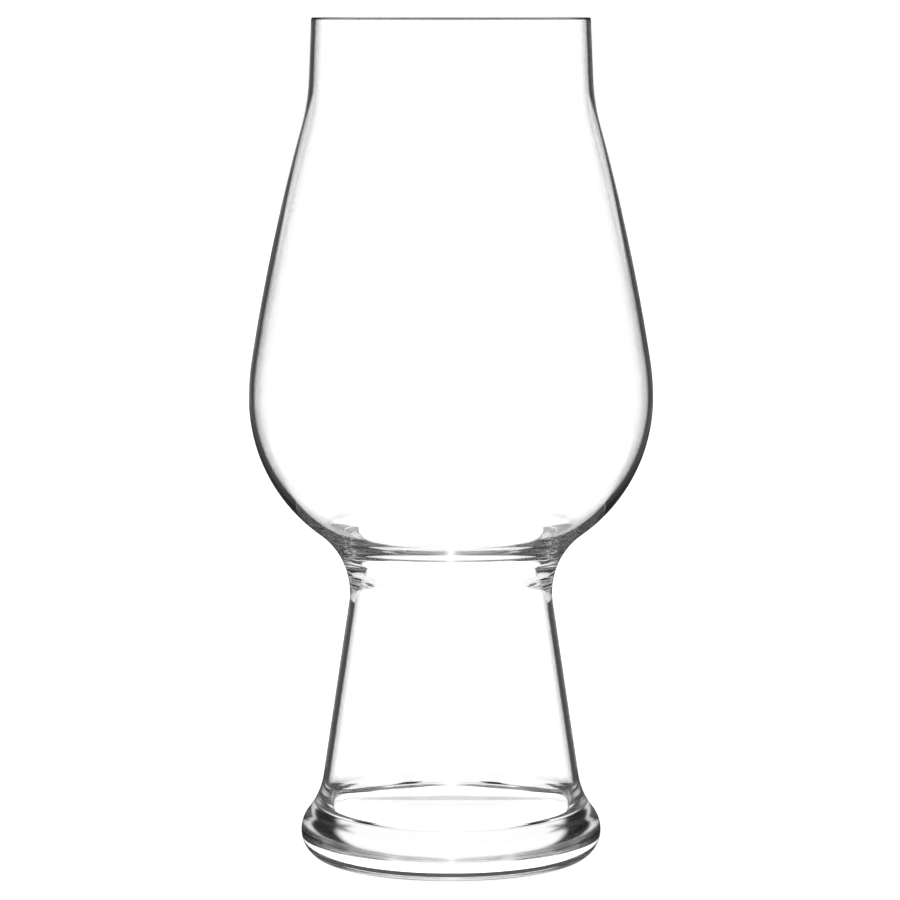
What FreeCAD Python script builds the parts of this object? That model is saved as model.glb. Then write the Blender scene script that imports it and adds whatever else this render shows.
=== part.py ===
"""Beer glass with a bulging bowl, a wide hollow stem and a thick foot: one piece of blown clear glass.

The glass is a turned form. Its outside, with the dish under its foot, and the hollow inside it are two
profiles in the upright plane through the axis, made of straight runs and arcs that meet smoothly.
Lengths are in millimetres and angles in degrees. The origin is where the axis meets the table.
"""
import FreeCAD, Part
import math
import os
import Sketcher

NODE = "glass"
V = FreeCAD.Vector

# Ends of an edge, as a sketch numbers them
START = 1
END = 2
CENTRE = 3

# A rounding takes at most this share of the wall, so that a flat is left between two of them
ROUNDING_LIMIT = 0.45

doc = FreeCAD.newDocument("beer_glass")

# Driving sizes
SIZES = [
    ("rim_radius", 29.15, "outer radius at the drinking edge"),
    ("rim_wall", 0.9, "wall thickness from the drinking edge down to the shoulder"),
    ("rim_rounding", 0.38, "rounding of the drinking edge, inside and outside"),
    ("lip_length", 12.6, "straight lip, measured along its slope"),
    ("lip_slant", 2.3, "how far the lip widens downwards, from upright"),
    ("neck_radius", 44.2, "hollow curve from the lip to the shoulder"),
    ("shoulder_radius", 443.0, "long, nearly straight curve of the shoulder"),
    ("belly_radius", 51.4, "curve just above the widest place"),
    ("belly_wall", 1.0, "wall thickness at the widest place"),
    ("widest_radius", 42.5, "outer radius at the widest place"),
    ("bowl_depth", 79.65, "from the drinking edge down to the widest place"),
    ("bowl_radius", 35.05, "outer curve of the bowl below the widest place"),
    ("bowl_wall", 2.55, "difference between the outer and the inner curve of the bowl below the widest place"),
    ("throat_edge_radius", 3.0, "rounded inner edge between the bowl and the hollow stem"),
    ("throat_radius", 15.6, "hollow outer curve from the bowl to the stem"),
    ("waist_radius", 21.37, "outer radius at the narrowest place of the stem"),
    ("waist_height", 56.692, "from the table to the narrowest place of the stem"),
    ("stem_wall", 1.2, "wall thickness of the hollow stem"),
    ("ankle_radius", 15.7, "hollow outer curve from the stem to the foot"),
    ("stem_base_radius", 26.86, "outer radius that the hollow curve of the ankle would narrow to"),
    ("foot_overhang", 4.92, "how far the foot stands out beyond the base of the stem"),
    ("foot_upper_radius", 6.67, "rounding of the foot above its widest place"),
    ("foot_lower_radius", 6.04, "rounding of the foot below its widest place"),
    ("floor_height", 9.3, "from the table to the floor of the hollow stem"),
    ("floor_corner_radius", 2.0, "rounding between the stem wall and the floor inside"),
    ("contact_width", 1.2, "flat ring that the glass stands on"),
    ("dish_depth", 1.0, "hollow under the foot, inside that ring"),
    ("dish_rounding", 0.8, "rounding between that ring and that hollow"),
]
sheet = doc.addObject("Spreadsheet::Sheet", "sizes")
for row, (alias, value, meaning) in enumerate(SIZES, start=1):
    sheet.set(f"A{row}", alias)
    sheet.set(f"B{row}", str(value))
    sheet.setAlias(f"B{row}", alias)
    sheet.set(f"C{row}", meaning)
doc.recompute()


def size(alias):
    """Value of one driving size."""
    return float(sheet.get(alias))


# Plane geometry in the upright plane: x is the distance from the axis, y is the height above the table

def down(slant):
    """Unit vector that runs down and outwards at a slant in degrees from upright."""
    angle = math.radians(slant)
    return V(math.sin(angle), -math.cos(angle), 0)


def outwards(direction):
    """Unit vector square to a downward direction, away from the axis."""
    return V(-direction.y, direction.x, 0)


def towards(centre, other, reach):
    """Point at a distance from one centre, on the way to another point."""
    return centre + (other - centre).normalize() * reach


def above(centre, across, reach):
    """Point at a distance from a centre and higher than it, at a given distance from the axis."""
    return V(across, centre.y + math.sqrt(reach ** 2 - (across - centre.x) ** 2), 0)


def meeting(centre_a, reach_a, centre_b, reach_b):
    """Point at the given distances from two centres, on the right of the way from the first to the second."""
    across = centre_b - centre_a
    along = (reach_a ** 2 - reach_b ** 2 + across.Length ** 2) / (2 * across.Length)
    aside = math.sqrt(reach_a ** 2 - along ** 2)
    unit = across / across.Length
    return centre_a + unit * along + V(unit.y, -unit.x, 0) * aside


def common_normal(centre_a, radius_a, centre_b, radius_b):
    """Normal of the straight run that touches two arcs whose centres lie outside the wall."""
    across = centre_b - centre_a
    share = (radius_b - radius_a) / across.Length
    unit = across / across.Length
    return unit * share + outwards(unit) * math.sqrt(1 - share ** 2)


def crossing(normal_a, reach_a, normal_b, reach_b):
    """Point on two straight lines, each given by its unit normal and its distance from the origin."""
    spread = normal_a.x * normal_b.y - normal_a.y * normal_b.x
    return V((reach_a * normal_b.y - reach_b * normal_a.y) / spread,
             (reach_b * normal_a.x - reach_a * normal_b.x) / spread, 0)


class Profile:
    """A closed profile in a sketch on the upright plane: runs and arcs added end to end.

    The edges are drawn where the sizes put them, and then held there by constraints tied to the sheet.
    """

    def __init__(self, name, start):
        self.sketch = body.newObject("Sketcher::SketchObject", name)
        plane = [part for part in body.Origin.OriginFeatures if part.Role == "XZ_Plane"][0]
        self.sketch.AttachmentSupport = [(plane, "")]
        self.sketch.MapMode = "FlatFace"
        self.here = start
        self.starts = []
        self.ends = []
        self.number = {}

    def rule(self, kind, *where):
        """Add a constraint without a size."""
        self.sketch.addConstraint(Sketcher.Constraint(kind, *where))

    def bind(self, label, constraint, expression):
        """Add a constraint with a size and tie it to the sheet."""
        index = self.sketch.addConstraint(constraint)
        self.sketch.renameConstraint(index, label)
        self.sketch.setExpression(f"Constraints.{label}", expression)

    def add(self, name, shape, first, last, smooth):
        """Add an edge whose end 'first' joins the edge before it."""
        index = self.sketch.addGeometry(shape, False)
        self.number[name] = index
        if self.ends:
            self.rule("Tangent" if smooth else "Coincident", *self.ends[-1], index, first)
        self.starts.append((index, first))
        self.ends.append((index, last))

    def run(self, name, end, smooth=True):
        """Straight run to a point."""
        self.add(name, Part.LineSegment(self.here, end), START, END, smooth)
        self.here = end

    def arc(self, name, centre, end, smooth=True):
        """Arc round a centre to a point, the short way."""
        angle_here = math.atan2(self.here.y - centre.y, self.here.x - centre.x)
        angle_end = math.atan2(end.y - centre.y, end.x - centre.x)
        turn = (angle_end - angle_here + math.pi) % (2 * math.pi) - math.pi
        circle = Part.Circle(centre, V(0, 0, 1), (self.here - centre).Length)
        if turn > 0:
            self.add(name, Part.ArcOfCircle(circle, angle_here, angle_here + turn), START, END, smooth)
        else:
            self.add(name, Part.ArcOfCircle(circle, angle_here + turn, angle_here), END, START, smooth)
        self.here = end

    def close(self):
        """Join the last edge to the first."""
        self.rule("Coincident", *self.ends[-1], *self.starts[0])

    def start(self, name):
        """Number and end of the place where an edge takes over from the one before."""
        return self.starts[self.number[name]]

    def end(self, name):
        """Number and end of the place where an edge hands on to the next."""
        return self.ends[self.number[name]]

    def centre(self, name):
        """Number and centre of an arc."""
        return self.number[name], CENTRE

    def radius(self, name, expression):
        """Radius of an arc."""
        index = self.number[name]
        value = self.sketch.Geometry[index].Radius
        self.bind(f"{name}_radius", Sketcher.Constraint("Radius", index, value), expression)

    def out(self, label, place, value, expression):
        """Distance of a point from the axis."""
        self.bind(label, Sketcher.Constraint("DistanceX", -1, 1, *place, value), expression)

    def up(self, label, place, value, expression):
        """Height of a point above the table."""
        self.bind(label, Sketcher.Constraint("DistanceY", -1, 1, *place, value), expression)

    def rise(self, label, low, high, value, expression):
        """Height of one point above another."""
        self.bind(label, Sketcher.Constraint("DistanceY", *low, *high, value), expression)

    def on_axis(self, place):
        """Hold a point on the axis."""
        self.rule("PointOnObject", *place, -2)

    def borrow(self, other, name):
        """Bring in an edge of another profile to measure from; its number in this sketch is given back."""
        self.sketch.addExternal(other.sketch.Name, f"Edge{other.number[name] + 1}")
        return -len(self.sketch.ExternalGeo)


body = doc.addObject("PartDesign::Body", NODE)
body.Label = NODE

# Outside of the glass: places from the throat up
throat_centre = V(size("waist_radius") + size("throat_radius"), size("waist_height"), 0)
bowl_centre = above(throat_centre, size("widest_radius") - size("bowl_radius"),
                    size("bowl_radius") + size("throat_radius"))
widest = bowl_centre + V(size("bowl_radius"), 0, 0)
belly_centre = widest - V(size("belly_radius"), 0, 0)
rim = V(size("rim_radius"), widest.y + size("bowl_depth"), 0)
lip_direction = down(size("lip_slant"))
lip_normal = outwards(lip_direction)
lip_end = rim + lip_direction * size("lip_length")
neck_centre = lip_end + lip_normal * size("neck_radius")
shoulder_centre = meeting(neck_centre, size("neck_radius") + size("shoulder_radius"),
                          belly_centre, size("shoulder_radius") - size("belly_radius"))

# and from the table up to the stem
foot_radius = size("stem_base_radius") + size("foot_overhang")
foot_widest = V(foot_radius, size("foot_lower_radius"), 0)
ring_outer = V(foot_radius - size("foot_lower_radius"), 0, 0)
ring_inner = ring_outer - V(size("contact_width"), 0, 0)
dish_radius = (ring_inner.x ** 2 / size("dish_depth") + size("dish_depth")) / 2 - size("dish_rounding")
dish_centre = V(0, size("dish_depth") - dish_radius, 0)
dish_edge_centre = ring_inner + V(0, size("dish_rounding"), 0)
foot_upper_centre = foot_widest - V(size("foot_upper_radius"), 0, 0)
ankle_offset = size("stem_base_radius") + size("ankle_radius") - foot_upper_centre.x
ankle_rise = math.sqrt((size("ankle_radius") + size("foot_upper_radius")) ** 2 - ankle_offset ** 2)
ankle_centre = foot_upper_centre + V(ankle_offset, ankle_rise, 0)
stem_normal = common_normal(throat_centre, size("throat_radius"), ankle_centre, size("ankle_radius"))

outside = Profile("outside", V(0, rim.y, 0))
outside.run("axis", V(0, size("dish_depth"), 0))
outside.arc("dish", dish_centre, towards(dish_centre, dish_edge_centre, dish_radius), smooth=False)
outside.arc("dish_edge", dish_edge_centre, ring_inner)
outside.run("ring", ring_outer)
outside.arc("foot_lower", ring_outer + V(0, size("foot_lower_radius"), 0), foot_widest)
outside.arc("foot_upper", foot_upper_centre, towards(foot_upper_centre, ankle_centre, size("foot_upper_radius")))
outside.arc("ankle", ankle_centre, ankle_centre - stem_normal * size("ankle_radius"))
outside.run("stem", throat_centre - stem_normal * size("throat_radius"))
outside.arc("throat", throat_centre, towards(throat_centre, bowl_centre, size("throat_radius")))
outside.arc("bowl", bowl_centre, widest)
outside.arc("belly", belly_centre, towards(shoulder_centre, belly_centre, size("shoulder_radius")))
outside.arc("shoulder", shoulder_centre, towards(neck_centre, shoulder_centre, size("neck_radius")))
outside.arc("neck", neck_centre, lip_end)
outside.run("lip", rim)
outside.run("top", V(0, rim.y, 0), smooth=False)
outside.close()

outside.on_axis(outside.start("axis"))
outside.on_axis(outside.end("axis"))
outside.on_axis(outside.centre("dish"))
outside.rule("Horizontal", outside.number["top"])
outside.rule("Horizontal", outside.number["ring"])
outside.rule("PointOnObject", *outside.end("ring"), -1)
outside.rule("Horizontal", *outside.centre("foot_lower"), *outside.end("foot_lower"))
outside.rule("Horizontal", *outside.centre("bowl"), *outside.end("bowl"))
for name in ("foot_lower", "foot_upper", "ankle", "throat", "bowl", "belly", "shoulder", "neck"):
    outside.radius(name, f"sizes.{name}_radius")
outside.up("dish_depth", outside.end("axis"), size("dish_depth"), "sizes.dish_depth")
outside.bind("contact_width", Sketcher.Constraint("DistanceX", *outside.start("ring"), *outside.end("ring"),
                                                  size("contact_width")), "sizes.contact_width")
outside.bind("dish_rounding", Sketcher.Constraint("Radius", outside.number["dish_edge"], size("dish_rounding")),
             "sizes.dish_rounding")
outside.out("foot_radius", outside.end("foot_lower"), foot_radius, "sizes.stem_base_radius + sizes.foot_overhang")
outside.out("ankle_place", outside.centre("ankle"), ankle_centre.x, "sizes.stem_base_radius + sizes.ankle_radius")
outside.out("throat_place", outside.centre("throat"), throat_centre.x, "sizes.waist_radius + sizes.throat_radius")
outside.up("waist_height", outside.centre("throat"), throat_centre.y, "sizes.waist_height")
outside.out("widest_radius", outside.end("bowl"), widest.x, "sizes.widest_radius")
outside.rise("bowl_depth", outside.end("bowl"), outside.end("lip"), rim.y - widest.y, "sizes.bowl_depth")
outside.out("rim_radius", outside.end("lip"), rim.x, "sizes.rim_radius")
outside.out("lip_end_radius", outside.end("neck"), lip_end.x,
            "sizes.rim_radius + sizes.lip_length * sin(sizes.lip_slant)")
outside.rise("lip_rise", outside.end("neck"), outside.end("lip"), rim.y - lip_end.y,
             "sizes.lip_length * cos(sizes.lip_slant)")
doc.recompute()

solid = body.newObject("PartDesign::Revolution", "solid_form")
solid.Profile = outside.sketch
solid.ReferenceAxis = (outside.sketch, ["V_Axis"])
solid.Angle = 360
doc.recompute()
solid_volume = solid.Shape.Volume

# Hollow: the bowl opens through a throat into the hollow stem
mouth_edge = V(rim.x - size("rim_wall") / lip_normal.x, rim.y, 0)
inner_lip_end = lip_end - lip_normal * size("rim_wall")
inner_neck_radius = size("neck_radius") + size("rim_wall")
inner_shoulder_radius = size("shoulder_radius") - size("rim_wall")
inner_belly_radius = size("belly_radius") - size("belly_wall")
inner_shoulder_centre = meeting(neck_centre, inner_neck_radius + inner_shoulder_radius,
                                belly_centre, inner_shoulder_radius - inner_belly_radius)
inner_widest = widest - V(size("belly_wall"), 0, 0)
bore_radius = size("bowl_radius") - size("bowl_wall")
bore_centre = inner_widest - V(bore_radius, 0, 0)
stem_bore_reach = throat_centre * stem_normal - size("throat_radius") - size("stem_wall")
edge_inset = stem_bore_reach + size("throat_edge_radius") - bore_centre * stem_normal
edge_drop = math.sqrt((bore_radius + size("throat_edge_radius")) ** 2 - edge_inset ** 2)
throat_edge_centre = bore_centre + stem_normal * edge_inset + V(stem_normal.y, -stem_normal.x, 0) * edge_drop
corner_centre = crossing(stem_normal, stem_bore_reach - size("floor_corner_radius"),
                         V(0, 1, 0), size("floor_height") + size("floor_corner_radius"))

hollow = Profile("hollow", V(0, rim.y, 0))
hollow.run("mouth", mouth_edge)
hollow.run("lip", inner_lip_end, smooth=False)
hollow.arc("neck", neck_centre, towards(neck_centre, inner_shoulder_centre, inner_neck_radius))
hollow.arc("shoulder", inner_shoulder_centre, towards(inner_shoulder_centre, belly_centre, inner_shoulder_radius))
hollow.arc("belly", belly_centre, inner_widest)
hollow.arc("bowl_bore", bore_centre, towards(bore_centre, throat_edge_centre, bore_radius))
hollow.arc("throat_edge", throat_edge_centre, throat_edge_centre - stem_normal * size("throat_edge_radius"))
hollow.run("stem", corner_centre + stem_normal * size("floor_corner_radius"))
hollow.arc("floor_corner", corner_centre, V(corner_centre.x, size("floor_height"), 0))
hollow.run("floor", V(0, size("floor_height"), 0))
hollow.run("axis", V(0, rim.y, 0), smooth=False)
hollow.close()

outer_top = hollow.borrow(outside, "top")
outer_lip = hollow.borrow(outside, "lip")
outer_neck = hollow.borrow(outside, "neck")
outer_belly = hollow.borrow(outside, "belly")
outer_stem = hollow.borrow(outside, "stem")
hollow.on_axis((hollow.number["mouth"], START))
hollow.rule("Horizontal", hollow.number["mouth"])
hollow.rule("Vertical", hollow.number["axis"])
hollow.rule("Horizontal", hollow.number["floor"])
hollow.rule("Horizontal", *hollow.centre("bowl_bore"), *hollow.end("belly"))
hollow.rule("Parallel", hollow.number["lip"], outer_lip)
hollow.rule("Coincident", *hollow.centre("neck"), outer_neck, CENTRE)
hollow.rule("Coincident", *hollow.centre("belly"), outer_belly, CENTRE)
hollow.rule("Parallel", hollow.number["stem"], outer_stem)
hollow.rule("PointOnObject", *hollow.end("mouth"), outer_top)
hollow.bind("rim_wall", Sketcher.Constraint("Distance", *hollow.end("mouth"), outer_lip, size("rim_wall")),
            "sizes.rim_wall")
hollow.bind("stem_wall", Sketcher.Constraint("Distance", *hollow.end("throat_edge"), outer_stem, size("stem_wall")),
            "sizes.stem_wall")
hollow.radius("shoulder", "sizes.shoulder_radius - sizes.rim_wall")
hollow.radius("belly", "sizes.belly_radius - sizes.belly_wall")
hollow.radius("bowl_bore", "sizes.bowl_radius - sizes.bowl_wall")
for name in ("throat_edge", "floor_corner"):
    hollow.radius(name, f"sizes.{name}_radius")
hollow.up("floor_height", hollow.end("floor_corner"), size("floor_height"), "sizes.floor_height")
doc.recompute()

cavity = body.newObject("PartDesign::Groove", "cavity")
cavity.Profile = hollow.sketch
cavity.ReferenceAxis = (hollow.sketch, ["V_Axis"])
cavity.Angle = 360
doc.recompute()
blown_volume = cavity.Shape.Volume


def circle_edge(shape, radius, height):
    """Name of the round edge nearest to a radius and a height."""
    def miss(numbered):
        edge = numbered[1]
        if edge.Degenerated or not isinstance(edge.Curve, Part.Circle):
            return math.inf
        return abs(edge.Curve.Radius - radius) + abs(edge.Curve.Center.z - height)
    number, _ = min(enumerate(shape.Edges, start=1), key=miss)
    return f"Edge{number}"


# Fire-polished drinking edge
rim_fillet = body.newObject("PartDesign::Fillet", "rounded_rim")
rim_fillet.Base = (cavity, [circle_edge(cavity.Shape, rim.x, rim.y), circle_edge(cavity.Shape, mouth_edge.x, rim.y)])
rim_fillet.Radius = size("rim_rounding")
rim_fillet.setExpression("Radius", f"min(sizes.rim_rounding; sizes.rim_wall * {ROUNDING_LIMIT})")
body.Tip = rim_fillet
doc.recompute()

# Checks before anything is written
if not body.Shape.Volume < blown_volume < solid_volume:
    raise SystemExit("the hollow or the rounding cuts nothing")
for item in doc.Objects:
    if "Invalid" in item.State or "Error" in item.State:
        raise SystemExit(f"{item.Name} failed: {item.State}")
for profile in (outside, hollow):
    if not profile.sketch.FullyConstrained:
        raise SystemExit(f"{profile.sketch.Name} is not fully constrained")
if body.Shape.isNull() or not body.Shape.isValid() or len(body.Shape.Solids) != 1:
    raise SystemExit("the glass is not one valid solid")

os.makedirs("parts", exist_ok=True)
body.Shape.exportStep(f"parts/{NODE}.step")

box = body.Shape.optimalBoundingBox(False)
print(f"glass {box.XLength:.2f} x {box.YLength:.2f} x {box.ZLength:.2f} mm, {body.Shape.Volume / 1000:.1f} ml of glass")
print(f"hollow holds {(solid_volume - blown_volume) / 1000:.0f} ml to the brim")
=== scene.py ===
# %% [markdown]
# # A clear beer glass
# The object is a drinking glass for beer, blown and turned as one piece of clear glass. It has a rounded
# bowl under a short lip, a narrow throat, a wide hollow stem and a thick foot. A clear object has hardly
# any colour of its own: what we see is how it bends the light round it. So this lesson spends its care on
# three things: the exact curve of both walls, a material that bends light as glass does, and light that
# draws its edges.
#
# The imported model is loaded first. It gives the size, and everything here is in metres in its frame.

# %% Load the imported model
import math

import bmesh
import bpy
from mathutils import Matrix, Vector


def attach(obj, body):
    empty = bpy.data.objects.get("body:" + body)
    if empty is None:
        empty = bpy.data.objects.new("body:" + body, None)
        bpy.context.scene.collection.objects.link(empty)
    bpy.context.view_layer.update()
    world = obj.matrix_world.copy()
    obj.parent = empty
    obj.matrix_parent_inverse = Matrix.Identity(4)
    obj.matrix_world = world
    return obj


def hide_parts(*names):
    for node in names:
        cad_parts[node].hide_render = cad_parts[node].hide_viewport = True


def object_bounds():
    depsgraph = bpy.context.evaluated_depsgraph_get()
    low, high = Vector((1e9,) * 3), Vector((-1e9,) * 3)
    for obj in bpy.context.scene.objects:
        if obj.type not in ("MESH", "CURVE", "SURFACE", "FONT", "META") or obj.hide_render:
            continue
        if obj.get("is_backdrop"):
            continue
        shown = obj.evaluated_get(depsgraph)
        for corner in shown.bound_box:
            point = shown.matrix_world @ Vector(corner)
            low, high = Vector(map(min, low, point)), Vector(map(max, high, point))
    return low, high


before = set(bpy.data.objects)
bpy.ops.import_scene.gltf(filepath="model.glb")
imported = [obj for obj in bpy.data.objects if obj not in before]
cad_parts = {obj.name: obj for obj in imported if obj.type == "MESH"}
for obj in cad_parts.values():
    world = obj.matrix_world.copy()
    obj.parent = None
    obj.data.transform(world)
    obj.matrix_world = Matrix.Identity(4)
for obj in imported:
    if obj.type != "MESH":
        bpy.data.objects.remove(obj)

scene = bpy.context.scene
packed_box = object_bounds()
print("nodes:", sorted(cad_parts), "box:", packed_box)

# %% [markdown]
# ## The camera
# The rim is seen as a thin line, so the photograph was taken from the height of the rim, and the curves at
# the foot show how far away the camera stood. A long lens keeps the sides of the glass nearly parallel. The
# camera tilts down a little to bring the glass to the middle of the square picture.

# %% Put the camera in place
rim_height = 0.1775
camera_distance = 0.8864
camera_tilt = math.radians(5.8407)
camera_turn = math.radians(0.014)

lens = bpy.data.cameras.new("camera")
lens.sensor_width = 36
lens.lens = 169.16
lens.clip_end = 50
camera = bpy.data.objects.new("camera", lens)
camera.location = (0, -camera_distance, rim_height)
camera.rotation_euler = (math.pi / 2 - camera_tilt, 0, camera_turn)
scene.collection.objects.link(camera)
scene.camera = camera
print("camera at", tuple(camera.location), "lens", lens.lens, "mm")

# %% [markdown]
# ## One line round the whole section
# A glassblower turns the piece all the time, so its form is a single curve carried round an axis. The curve
# is drawn in the plane through the axis, as distance from the axis and height. It starts in the middle of
# the underside, climbs the outside, goes over the rim and comes down the inside to the floor of the stem.
# It could be drawn by hand with a spline, but arcs that touch each other give the smooth, even reflections
# of blown glass, and a wall between two arcs has a thickness that we can name. So the line is a chain of
# straight runs and arcs, and a few small helpers find the places where they touch.

# %% A line of runs and arcs
MM = 0.001
ARC_STEP = math.radians(3.2)
RUN_STEP = 1.6 * MM


class Section:
    """Points of the turned section, added run by run and arc by arc."""

    def __init__(self, start):
        self.points = [start]

    def run(self, end):
        """Straight run to a point."""
        start = self.points[-1]
        count = max(1, math.ceil((end - start).length / RUN_STEP))
        self.points += [start.lerp(end, i / count) for i in range(1, count + 1)]

    def arc(self, centre, end):
        """Arc round a centre to a point, the short way."""
        spoke = self.points[-1] - centre
        other = end - centre
        angle = math.atan2(spoke.y, spoke.x)
        turn = (math.atan2(other.y, other.x) - angle + math.pi) % (2 * math.pi) - math.pi
        count = max(2, math.ceil(abs(turn) / ARC_STEP), math.ceil(abs(turn) * spoke.length / RUN_STEP))
        for i in range(1, count):
            here = angle + turn * i / count
            self.points.append(centre + Vector((math.cos(here), math.sin(here))) * spoke.length)
        self.points.append(end)


# %% Find the places where runs and arcs touch
def down(slant):
    """Unit vector that runs down and outwards, at a slant from upright."""
    return Vector((math.sin(slant), -math.cos(slant)))


def outwards(direction):
    """Unit vector square to a downward one, away from the axis."""
    return Vector((-direction.y, direction.x))


def towards(centre, other, reach):
    """Point at a distance from a centre, on the way to another."""
    return centre + (other - centre).normalized() * reach


def meeting(centre_a, reach_a, centre_b, reach_b):
    """Point at given distances from two centres, on the right of the way from the first to the second."""
    across = centre_b - centre_a
    along = (reach_a ** 2 - reach_b ** 2 + across.length ** 2) / (2 * across.length)
    aside = math.sqrt(reach_a ** 2 - along ** 2)
    unit = across.normalized()
    return centre_a + unit * along + Vector((unit.y, -unit.x)) * aside


def crossing(normal_a, reach_a, normal_b, reach_b):
    """Point on two straight lines, each given by its normal and its distance from the origin."""
    spread = normal_a.x * normal_b.y - normal_a.y * normal_b.x
    across = reach_a * normal_b.y - reach_b * normal_a.y
    upwards = reach_b * normal_a.x - reach_a * normal_b.x
    return Vector((across, upwards)) / spread


# %% [markdown]
# ## The outside
# Five arcs and two runs make the outside above the foot: the lip, the hollow of the neck, a long flat
# shoulder, the belly, the bowl below the widest place, the throat and the stem. The foot is a hollow ankle
# and a rounded edge. The stem is the straight line that touches both the throat's arc and the ankle's.

# %% Outside, from the throat up
waist = Vector((21.37, 56.69)) * MM
throat_radius = 15.6 * MM
throat_centre = waist + Vector((throat_radius, 0))

widest_radius = 42.5 * MM
bowl_radius = 35.05 * MM
bowl_across = widest_radius - bowl_radius
throat_reach = bowl_radius + throat_radius
bowl_rise = math.sqrt(throat_reach ** 2 - (throat_centre.x - bowl_across) ** 2)
bowl_centre = Vector((bowl_across, throat_centre.y + bowl_rise))
widest = bowl_centre + Vector((bowl_radius, 0))

belly_radius = 51.4 * MM
belly_centre = widest - Vector((belly_radius, 0))
rim = Vector((29.15 * MM, rim_height))
lip_slant = math.radians(2.3)
lip_length = 12.6 * MM
lip_direction = down(lip_slant)
lip_normal = outwards(lip_direction)
lip_end = rim + lip_direction * lip_length
neck_radius = 44.2 * MM
neck_centre = lip_end + lip_normal * neck_radius
shoulder_radius = 443 * MM
shoulder_centre = meeting(neck_centre, neck_radius + shoulder_radius,
                          belly_centre, shoulder_radius - belly_radius)
print("widest place", widest, "waist", waist)

# %% Outside, the foot and the stem
stem_base_radius = 26.86 * MM
foot_overhang = 4.92 * MM
foot_radius = stem_base_radius + foot_overhang
foot_lower_radius = 6.04 * MM
foot_upper_radius = 6.67 * MM
ankle_radius = 15.7 * MM

foot_widest = Vector((foot_radius, foot_lower_radius))
foot_contact = Vector((foot_radius - foot_lower_radius, 0))
foot_upper_centre = foot_widest - Vector((foot_upper_radius, 0))
ankle_offset = stem_base_radius + ankle_radius - foot_upper_centre.x
ankle_rise = math.sqrt((ankle_radius + foot_upper_radius) ** 2 - ankle_offset ** 2)
ankle_centre = foot_upper_centre + Vector((ankle_offset, ankle_rise))

way = ankle_centre - throat_centre
share = (ankle_radius - throat_radius) / way.length
stem_normal = way.normalized() * share + outwards(way.normalized()) * math.sqrt(1 - share ** 2)
print("foot", foot_radius * 2, "m across, stem widens by", stem_normal.y / stem_normal.x)

# %% [markdown]
# ## The inside
# Nobody can measure the inside of a glass in a photograph, but the dark lines at its edges show how thick
# the wall is: a thin wall gives a thin line. The lip and shoulder are under 1 mm thick, the stem a little
# over, and glass gathers under the bowl and in the foot. The inside arcs share their centres with the
# outside ones where the wall is even, and have a centre of their own in the bowl, where it thickens
# downwards.

# %% Inside, from the rim to the throat
rim_wall = 0.9 * MM
belly_wall = 1.0 * MM
bowl_wall = 2.55 * MM
stem_wall = 1.2 * MM
throat_edge_radius = 3.0 * MM

inner_neck_radius = neck_radius + rim_wall
inner_shoulder_radius = shoulder_radius - rim_wall
inner_belly_radius = belly_radius - belly_wall
inner_shoulder_centre = meeting(neck_centre, inner_neck_radius + inner_shoulder_radius,
                                belly_centre, inner_shoulder_radius - inner_belly_radius)
inner_widest = widest - Vector((belly_wall, 0))
bore_radius = bowl_radius - bowl_wall
bore_centre = inner_widest - Vector((bore_radius, 0))

stem_bore = throat_centre.dot(stem_normal) - throat_radius - stem_wall
stem_downward = Vector((stem_normal.y, -stem_normal.x))
edge_inset = stem_bore + throat_edge_radius - bore_centre.dot(stem_normal)
edge_drop = math.sqrt((bore_radius + throat_edge_radius) ** 2 - edge_inset ** 2)
throat_edge_centre = bore_centre + stem_normal * edge_inset + stem_downward * edge_drop
print("throat bore", (throat_edge_centre.x - throat_edge_radius) * 2, "m")

# %% Inside, the floor of the stem and the dish under the foot
floor_height = 9.3 * MM
floor_corner_radius = 2.0 * MM
upright = Vector((0, 1))
corner_centre = crossing(stem_normal, stem_bore - floor_corner_radius,
                         upright, floor_height + floor_corner_radius)

contact_width = 1.2 * MM
dish_depth = 1.0 * MM
dish_rounding = 0.8 * MM
ring_inner = foot_contact - Vector((contact_width, 0))
dish_radius = (ring_inner.x ** 2 / dish_depth + dish_depth) / 2 - dish_rounding
dish_centre = Vector((0, dish_depth - dish_radius))
dish_edge_centre = ring_inner + Vector((0, dish_rounding))
print("contact ring", ring_inner.x, "to", foot_contact.x, "dish radius", dish_radius)

# %% Rounded drinking edge
rim_rounding = 0.38 * MM
mouth = rim - Vector((rim_wall / lip_normal.x, 0))
rim_level = rim.y - rim_rounding
outer_rim_centre = crossing(lip_normal, rim.dot(lip_normal) - rim_rounding, upright, rim_level)
inner_rim_centre = crossing(lip_normal, mouth.dot(lip_normal) + rim_rounding, upright, rim_level)
print("rim wall", rim_wall, "rounded by", rim_rounding)

# %% Draw the whole section
section = Section(Vector((0, dish_depth)))
section.arc(dish_centre, towards(dish_centre, dish_edge_centre, dish_radius))
section.arc(dish_edge_centre, ring_inner)
section.run(foot_contact)
section.arc(foot_contact + Vector((0, foot_lower_radius)), foot_widest)
section.arc(foot_upper_centre, towards(foot_upper_centre, ankle_centre, foot_upper_radius))
section.arc(ankle_centre, ankle_centre - stem_normal * ankle_radius)
section.run(throat_centre - stem_normal * throat_radius)
section.arc(throat_centre, towards(throat_centre, bowl_centre, throat_radius))
section.arc(bowl_centre, widest)
section.arc(belly_centre, towards(shoulder_centre, belly_centre, shoulder_radius))
section.arc(shoulder_centre, towards(neck_centre, shoulder_centre, neck_radius))
section.arc(neck_centre, lip_end)
section.run(outer_rim_centre + lip_normal * rim_rounding)
section.arc(outer_rim_centre, outer_rim_centre + Vector((0, rim_rounding)))
section.run(inner_rim_centre + Vector((0, rim_rounding)))
section.arc(inner_rim_centre, inner_rim_centre - lip_normal * rim_rounding)
section.run(lip_end - lip_normal * rim_wall)
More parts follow.
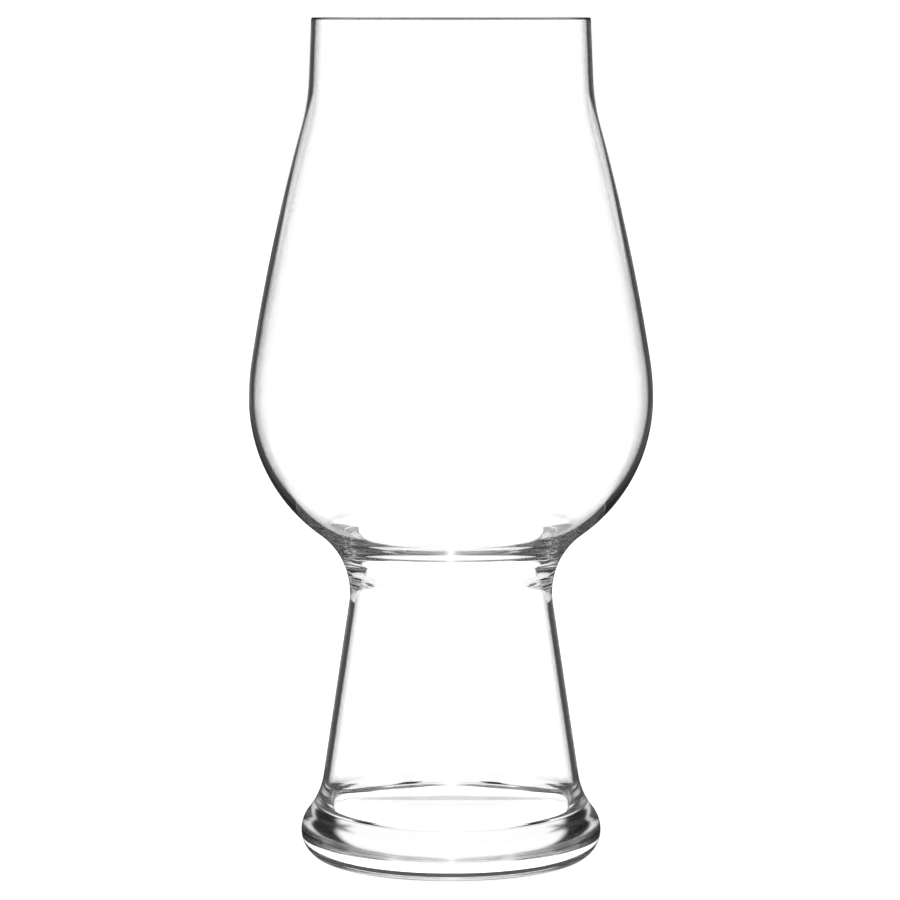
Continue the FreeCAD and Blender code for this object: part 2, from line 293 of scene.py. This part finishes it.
section.arc(neck_centre, towards(neck_centre, inner_shoulder_centre, inner_neck_radius))
section.arc(inner_shoulder_centre, towards(inner_shoulder_centre, belly_centre, inner_shoulder_radius))
section.arc(belly_centre, inner_widest)
section.arc(bore_centre, towards(bore_centre, throat_edge_centre, bore_radius))
section.arc(throat_edge_centre, throat_edge_centre - stem_normal * throat_edge_radius)
section.run(corner_centre + stem_normal * floor_corner_radius)
section.arc(corner_centre, corner_centre - Vector((0, floor_corner_radius)))
section.run(Vector((0, floor_height)))

outline = bpy.data.meshes.new("section")
corners = [(point.x, 0, point.y) for point in section.points]
outline.from_pydata(corners, [(i, i + 1) for i in range(len(corners) - 1)], [])
print("section points:", len(corners))

# %% [markdown]
# ## Wires and nodes
# Both the turning and the finishes are node trees. Written out node by node they are long, so a small class
# wraps an output socket and lets us write sums as Python does, and one method adds any other node. The same
# two classes serve geometry, material and light.

# %% A graph that writes sums as Python does
class Wire:
    """An output socket on which sums are written as expressions."""

    def __init__(self, graph, socket):
        self.graph = graph
        self.socket = socket

    def __add__(self, other):
        return self.graph.math("ADD", self, other)

    def __radd__(self, other):
        return self.graph.math("ADD", other, self)

    def __sub__(self, other):
        return self.graph.math("SUBTRACT", self, other)

    def __rsub__(self, other):
        return self.graph.math("SUBTRACT", other, self)

    def __mul__(self, other):
        return self.graph.math("MULTIPLY", self, other)

    def __rmul__(self, other):
        return self.graph.math("MULTIPLY", other, self)

    def __truediv__(self, other):
        return self.graph.math("DIVIDE", self, other)

    def __rtruediv__(self, other):
        return self.graph.math("DIVIDE", other, self)

    def step(self, low, high):
        """0 below one value, 1 above another, and even in between."""
        return self.graph.add("ShaderNodeMapRange", {"clamp": True}, {0: self, 1: low, 2: high, 3: 0, 4: 1})


class Graph:
    """A node tree with one method that adds any node."""

    def __init__(self, tree):
        self.tree = tree

    def math(self, operation, *values):
        """Math node on one to three values."""
        return self.add("ShaderNodeMath", {"operation": operation}, dict(enumerate(values)))

    def add(self, kind, settings=None, values=None, output=0):
        """Add a node, choose its settings, fill or link its inputs, and give back one of its outputs."""
        node = self.tree.nodes.new(kind)
        for key, value in (settings or {}).items():
            setattr(node, key, value)
        for key, value in (values or {}).items():
            if isinstance(value, Wire):
                self.tree.links.new(value.socket, node.inputs[key])
            else:
                node.inputs[key].default_value = value
        return Wire(self, node.outputs[output]) if len(node.outputs) else None

    def parts(self, vector):
        """X, Y and Z of a vector."""
        outputs = self.add("ShaderNodeSeparateXYZ", None, {0: vector}).socket.node.outputs
        return [Wire(self, outputs[name]) for name in "XYZ"]


# %% [markdown]
# ## Clear glass
# The glass is smooth and fire-polished, so it has no roughness, except in the dish under the foot, which
# the mould leaves a little dull. Its refractive index is that of common glass, 1.52. Seen through its thick
# foot it is faintly green, because the sand it is made of holds a trace of iron: that is a colour of the
# inside, not of the skin, so it is absorption in the volume. A blown wall is never perfectly even, and very
# low, long waves in the surface make the bent lines in the foot look drawn by hand.
#
# Light that goes in at the drinking edge runs on down inside the wall and is lost, so a real rim is seen as
# a thin dark line, even from straight ahead. The edge could be left to the light, but it is rounded over
# less than half a millimetre, and a shade painted into the colour of just that rounding draws the line
# from every side.

# %% Make the glass material
glass_finish = bpy.data.materials.new("clear_glass")
glass_finish.use_nodes = True
graph = Graph(glass_finish.node_tree)
glass_finish.node_tree.nodes.clear()
place = graph.add("ShaderNodeTexCoord", output="Object")
across, deep, up = graph.parts(place)

dish_border = 24.9 * MM
dish_roughness = 0.12
squared_reach = across * across + deep * deep
outside_dish = squared_reach.step(dish_border ** 2, (dish_border + 0.1 * MM) ** 2)
above_dish = up.step(dish_depth + 0.05 * MM, dish_depth + 0.2 * MM)
roughness = (1 - above_dish) * (1 - outside_dish) * dish_roughness

# Painted shade: Base Color is darkened on the rim's rounding, standing in for the dark line that light lost
# in the wall draws there.
rim_shade = 0.8
painted_rim_shade = 1 - up.step(rim_height - 0.6 * MM, rim_height - 0.4 * MM) * rim_shade

wave_height = 0.01 * MM
waves = graph.add("ShaderNodeTexNoise", None, {"Vector": place, "Scale": 60, "Detail": 1, "Roughness": 0.4})
bump = graph.add("ShaderNodeBump", None, {"Height": waves, "Strength": 1, "Distance": wave_height})
glass = graph.add("ShaderNodeBsdfPrincipled", None, {
    "Base Color": painted_rim_shade, "Roughness": roughness, "IOR": 1.52, "Transmission Weight": 1, "Normal": bump})
tint = graph.add("ShaderNodeVolumeAbsorption", None, {"Color": (0.84, 0.97, 0.91, 1), "Density": 1.5})
graph.add("ShaderNodeOutputMaterial", None, {"Surface": glass, "Volume": tint})
print("nodes in the glass material:", len(glass_finish.node_tree.nodes))

# %% [markdown]
# ## Turning the section
# The tree lays a grid with one column for each step round the axis and one row for each point of the
# section. Each grid point then takes the place of its row's point, turned by its column's angle. The last
# column lies on the first, and the first and last rows shrink to a point on the axis: merging what lies
# together closes them. A Screw modifier would do much the same, but here the rule is in view and the counts
# are inputs.

# %% Build the turning tree
turning = bpy.data.node_groups.new("turn_section", "GeometryNodeTree")
turning.interface.new_socket("Section", in_out="INPUT", socket_type="NodeSocketGeometry")
turning.interface.new_socket("Steps round", in_out="INPUT", socket_type="NodeSocketInt")
turning.interface.new_socket("Merge distance", in_out="INPUT", socket_type="NodeSocketFloat")
turning.interface.new_socket("Finish", in_out="INPUT", socket_type="NodeSocketMaterial")
turning.interface.new_socket("Geometry", in_out="OUTPUT", socket_type="NodeSocketGeometry")

graph = Graph(turning)
inputs = graph.add("NodeGroupInput").socket.node.outputs
section_in = Wire(graph, inputs["Section"])
steps = Wire(graph, inputs["Steps round"])
rows = graph.add("GeometryNodeAttributeDomainSize", {"component": "MESH"}, {"Geometry": section_in})
grid = graph.add("GeometryNodeMeshGrid", None, {"Vertices X": steps + 1, "Vertices Y": rows})
index = graph.add("GeometryNodeInputIndex")
column = graph.math("FLOOR", index / rows)
row = index - column * rows
position = graph.add("GeometryNodeInputPosition")
point = graph.add("GeometryNodeSampleIndex", {"data_type": "FLOAT_VECTOR", "domain": "POINT"},
                  {"Geometry": section_in, "Value": position, "Index": row})
turned = graph.add("ShaderNodeVectorRotate", {"rotation_type": "Z_AXIS"},
                   {"Vector": point, "Angle": column / steps * (2 * math.pi)})
shell = graph.add("GeometryNodeSetPosition", None, {"Geometry": grid, "Position": turned})
shell = graph.add("GeometryNodeMergeByDistance", None,
                  {"Geometry": shell, "Distance": Wire(graph, inputs["Merge distance"])})
shell = graph.add("GeometryNodeSetShadeSmooth", None, {"Geometry": shell})
shell = graph.add("GeometryNodeRealizeInstances", None, {"Geometry": shell})
shell = graph.add("GeometryNodeSetMaterial", None,
                  {"Geometry": shell, "Material": Wire(graph, inputs["Finish"])})
graph.add("NodeGroupOutput", None, {"Geometry": shell})

# %% Turn the glass and keep it as a plain mesh
maker = bpy.data.objects.new("glass_section", outline)
scene.collection.objects.link(maker)
modifier = maker.modifiers.new("turned", "NODES")
modifier.node_group = turning
chosen = {"Steps round": 224, "Merge distance": 1e-6, "Finish": glass_finish}
for item in turning.interface.items_tree:
    if item.in_out == "INPUT" and item.name in chosen:
        modifier[item.identifier] = chosen[item.name]

depsgraph = bpy.context.evaluated_depsgraph_get()
glass_mesh = bpy.data.meshes.new_from_object(maker.evaluated_get(depsgraph), depsgraph=depsgraph)
bpy.data.objects.remove(maker)
blown_glass = bpy.data.objects.new("blown_glass", glass_mesh)
scene.collection.objects.link(blown_glass)

# %% Check that it is closed and faces outwards
check = bmesh.new()
check.from_mesh(glass_mesh)
open_edges = sum(not edge.is_manifold for edge in check.edges)
volume = check.calc_volume(signed=True)
if volume < 0:
    bmesh.ops.reverse_faces(check, faces=check.faces)
    check.to_mesh(glass_mesh)
triangles = sum(len(face.verts) - 2 for face in check.faces)
check.free()
print("open edges:", open_edges, "volume in ml:", round(volume * 1e6, 1), "triangles:", triangles)

# %% [markdown]
# ## Floor
# The glass stands on a plain white studio floor that fades into a white background. Most of its brightness
# comes from the floor itself, so that it stays as white as the background, and a small part is lit by the
# studio, so that a faint real shadow shows where the foot touches it.

# %% Make the floor
floor_finish = bpy.data.materials.new("white_floor")
floor_finish.use_nodes = True
graph = Graph(floor_finish.node_tree)
floor_finish.node_tree.nodes.clear()
glow = graph.add("ShaderNodeEmission", None, {"Color": (1, 1, 1, 1), "Strength": 0.9})
matt = graph.add("ShaderNodeBsdfDiffuse", None, {"Color": (0.2, 0.2, 0.2, 1)})
both = graph.add("ShaderNodeAddShader", None, {0: glow, 1: matt})
graph.add("ShaderNodeOutputMaterial", None, {"Surface": both})

floor_mesh = bpy.data.meshes.new("floor")
disc = bmesh.new()
bmesh.ops.create_circle(disc, cap_ends=True, radius=3, segments=96)
disc.to_mesh(floor_mesh)
disc.free()
floor_mesh.materials.append(floor_finish)
floor = bpy.data.objects.new("floor", floor_mesh)
scene.collection.objects.link(floor)
floor.visible_transmission = False
floor.visible_glossy = False

# %% [markdown]
# ## Studio light
# Clear glass is photographed in front of white, with dark cards just outside the picture. Light that comes
# straight through stays white. Light that an edge mirrors comes from a card, so the edge is drawn as a dark
# line. Real cards stand close by, and each is moved until its own edge looks right. Here the light comes
# from far away, where a card would serve all edges alike, so the edges are told apart in another way: the
# Light Path node counts how often a ray has been mirrored inside the glass. The walls of the lip, bowl and
# stem mirror it once, the foot once or twice, and the thick glass of the throat many times. Each count has
# cards of its own. They stand at quarter turns round the glass, so that it looks much the same from every
# side.

# %% Helpers for walls and cards
world = bpy.data.worlds.new("studio")
world.use_nodes = True
scene.world = world
graph = Graph(world.node_tree)
world.node_tree.nodes.clear()
direction = graph.add("ShaderNodeTexCoord", output="Generated")
east, north, height = graph.parts(direction)
bearing = graph.math("ARCTAN2", east, north)


def from_nearest(spacing):
    """Angle to the nearest of several places that stand evenly round the glass, some degrees apart."""
    half = math.radians(spacing) / 2
    return graph.math("ABSOLUTE", graph.math("WRAP", bearing, half, -half))


def blend(first, second, share):
    """The first value where the share is 0, the second where it is 1."""
    return first + share * (second - first)


def band(bottom, top, soft_bottom=0.06, soft_top=0.1):
    """1 between two elevations in degrees and 0 elsewhere, with soft borders given as sines."""
    low = math.sin(math.radians(bottom))
    high = math.sin(math.radians(top))
    over_low = height.step(low - soft_bottom / 2, low + soft_bottom / 2)
    over_high = height.step(high - soft_top / 2, high + soft_top / 2)
    return over_low * (1 - over_high)


# %% Bright walls with dark cards between them
wall_light = 1.1
from_wall = from_nearest(90)


def cards(bottom, top, card_light, wall_half, soft):
    """Light of the walls, and of cards from one elevation to another beside them, all angles in degrees."""
    beside = from_wall.step(math.radians(wall_half - soft), math.radians(wall_half + soft))
    return blend(wall_light, card_light, beside * band(bottom, top))


once = cards(bottom=-60, top=35, card_light=0, wall_half=34, soft=2)
twice = cards(bottom=-35, top=35, card_light=0, wall_half=34, soft=2)
often = cards(bottom=-80, top=36, card_light=0.05, wall_half=6, soft=4)
ring_light = 0.09
once = blend(once, ring_light, band(bottom=-25, top=2.5, soft_bottom=0.04, soft_top=0.02))
print("walls at quarter turns, each", 2 * 34, "degrees wide")

# %% [markdown]
# Light that comes straight through is a little brighter than white, because each surface that it passes
# keeps some back, and brighter still where it comes from a few degrees aside, which keeps the lines at the
# edges thin. Light that only glances off the outside comes from the dark room in front of the glass. The
# camera itself sees a plain white background.

# %% Give each ray the light of its own count
path = graph.add("ShaderNodeLightPath").socket.node.outputs
mirrored = Wire(graph, path["Glossy Depth"])
entered = Wire(graph, path["Transmission Depth"])
from_camera = Wire(graph, path["Is Camera Ray"])


def reaches(count, number):
    """1 where a whole count has reached a number, 0 below it."""
    return graph.math("GREATER_THAN", count, number - 0.5)


passed_light = 1.17
aside_light = 0.7
aside_width = math.radians(9)
straight_through = passed_light + from_nearest(45).step(0, aside_width) * aside_light
room_light = 0.05
glanced = reaches(mirrored, 1) * (1 - reaches(entered, 1))

light = blend(once, twice, reaches(mirrored, 2))
light = blend(light, often, reaches(mirrored, 3))
light = blend(straight_through, light, reaches(mirrored, 1))
light = blend(light, room_light, glanced)
light = blend(light, 1, from_camera)
background = graph.add("ShaderNodeBackground", None, {"Color": light, "Strength": 1})
graph.add("ShaderNodeOutputWorld", None, {"Surface": background})
print("nodes in the studio light:", len(world.node_tree.nodes))

# %% [markdown]
# ## Long ways of light
# In thick glass a ray is mirrored dozens of times before it comes out. The renderer gives up after a few by
# default and leaves black patches there, so its limits are raised. The plain Standard view shows white as
# white, where the usual one would turn it grey.

# %% Raise the limits and choose the view
scene.cycles.glossy_bounces = 48
scene.cycles.transmission_bounces = 64
scene.cycles.max_bounces = 80
scene.view_settings.view_transform = "Standard"
print("a ray may meet", scene.cycles.max_bounces, "surfaces")

# %% [markdown]
# ## Hand over
# The blown glass moves with the object's only body and stands for the plain solid of the same form.

# %% Hand over
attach(blown_glass, "root")
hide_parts("glass")
floor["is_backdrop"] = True


def plain(value):
    """Vectors as plain lists of numbers."""
    return [plain(item) for item in value] if hasattr(value, "__len__") else float(value)


{"cad": plain(packed_box), "visual": plain(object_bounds())}
